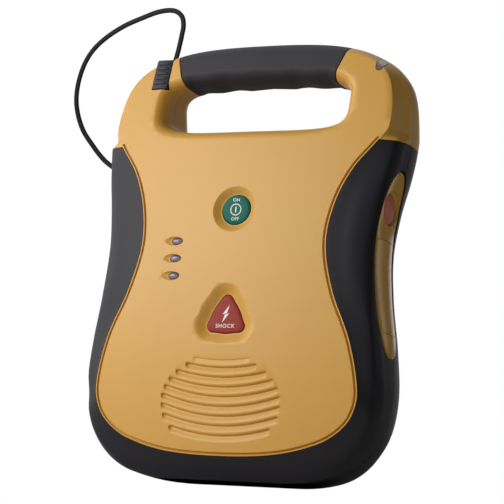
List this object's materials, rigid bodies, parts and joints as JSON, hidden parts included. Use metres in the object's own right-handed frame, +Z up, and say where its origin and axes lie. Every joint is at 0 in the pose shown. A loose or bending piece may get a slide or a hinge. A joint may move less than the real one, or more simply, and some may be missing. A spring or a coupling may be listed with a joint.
{
  "type": "automated external defibrillator",
  "caption": "Portable defibrillator: hour-glass case with a carry handle, on/off and shock buttons, speaker grille, side battery pack, rear pads pouch and an electrode plug with looped lead.",
  "frame": {"origin": "on the surface that the base stands on, under the middle of the body", "axes": "+Z up through the handle, front panel faces -Y, battery pack slides out along +X"},
  "size_m": [0.2731, 0.0742, 0.3357],
  "materials": {
    "yellow_shell": "satin, fine texture",
    "black_surround": "satin",
    "rubber_grip": "matt, fine texture",
    "silicone": "matt",
    "steel": "plain",
    "green_button": "semi-gloss",
    "red_button": "semi-gloss",
    "lamp_lens": "clear, gloss",
    "black_plastic": "plain",
    "ferrite": "plain",
    "circuit_board": "lacquered",
    "capacitor_can": "plain",
    "copper_winding": "enamelled",
    "relay_case": "plain",
    "brass": "plated",
    "battery_can": "sleeved",
    "grey_plug": "satin",
    "cable_jacket": "satin",
    "pouch_film": "satin foil laminate",
    "pad_gel": "tacky"
  },
  "bodies": {
    "unit": {"front_case": "yellow_shell", "rear_case": "yellow_shell", "battery_bay": "yellow_shell", "front_bumper": "black_surround", "rear_bumper": "black_surround", "grip_front": "rubber_grip", "grip_rear": "rubber_grip", "case_gasket": "silicone", "on_off_dome": "silicone", "shock_dome": "silicone", "case_screw_1": "steel", "case_screw_2": "steel", "case_screw_3": "steel", "case_screw_4": "steel", "case_screw_5": "steel", "case_screw_6": "steel", "speaker_frame": "steel", "eject_spring": "steel", "battery_latch": "steel", "indicator_lens_1": "lamp_lens", "indicator_lens_2": "lamp_lens", "indicator_lens_3": "lamp_lens", "status_lens": "lamp_lens", "speaker_cone": "black_plastic", "speaker_screen": "black_plastic", "eject_housing": "black_plastic", "connector_socket": "black_plastic", "capacitor_clamp": "black_plastic", "speaker_magnet": "ferrite", "transformer": "ferrite", "main_board": "circuit_board", "power_board": "circuit_board", "main_capacitor": "capacitor_can", "discharge_coil": "copper_winding", "patient_relay": "relay_case", "bay_contacts": "brass", "socket_pin_1": "brass", "socket_pin_2": "brass", "electrode_cable": "cable_jacket", "cable_tail": "cable_jacket"},
    "on_off": {"on_off_button": "green_button"},
    "shock": {"shock_button": "red_button"},
    "eject": {"eject_button": "red_button"},
    "battery": {"battery_pack": "yellow_shell", "battery_contacts": "black_plastic", "battery_cell_1": "battery_can", "battery_cell_2": "battery_can", "battery_cell_3": "battery_can", "battery_cell_4": "battery_can", "battery_cell_5": "battery_can", "battery_cell_6": "battery_can"},
    "plug": {"electrode_plug": "grey_plug", "plug_strain_relief": "black_plastic"},
    "pads": {"pads_pouch": "pouch_film", "electrode_pad_1": "pad_gel", "electrode_pad_2": "pad_gel"}
  },
  "joints": [
    {"name": "on_off_press", "type": "slide", "parent": "unit", "child": "on_off", "axis": [0, 1, 0], "range_m": [0, 0.0015], "stiffness_N_per_m": 2000, "deforming": ["on_off_dome"]},
    {"name": "shock_press", "type": "slide", "parent": "unit", "child": "shock", "axis": [0, 1, 0], "range_m": [0, 0.0015], "stiffness_N_per_m": 2000, "deforming": ["shock_dome"]},
    {"name": "eject_press", "type": "slide", "parent": "unit", "child": "eject", "axis": [-1, 0, 0], "range_m": [0, 0.003], "stiffness_N_per_m": 1500, "deforming": ["eject_spring", "battery_latch"]},
    {"name": "battery_slide", "type": "slide", "parent": "unit", "child": "battery", "axis": [1, 0, 0], "range_m": [0, 0.1], "deforming": ["battery_latch"]},
    {"name": "plug_pull", "type": "slide", "parent": "unit", "child": "plug", "axis": [0, 0, 1], "range_m": [0, 0.025], "deforming": ["electrode_cable"]},
    {"name": "pads_slide", "type": "slide", "parent": "unit", "child": "pads", "axis": [0, 0, 1], "range_m": [0, 0.055], "deforming": ["cable_tail"]}
  ]
}
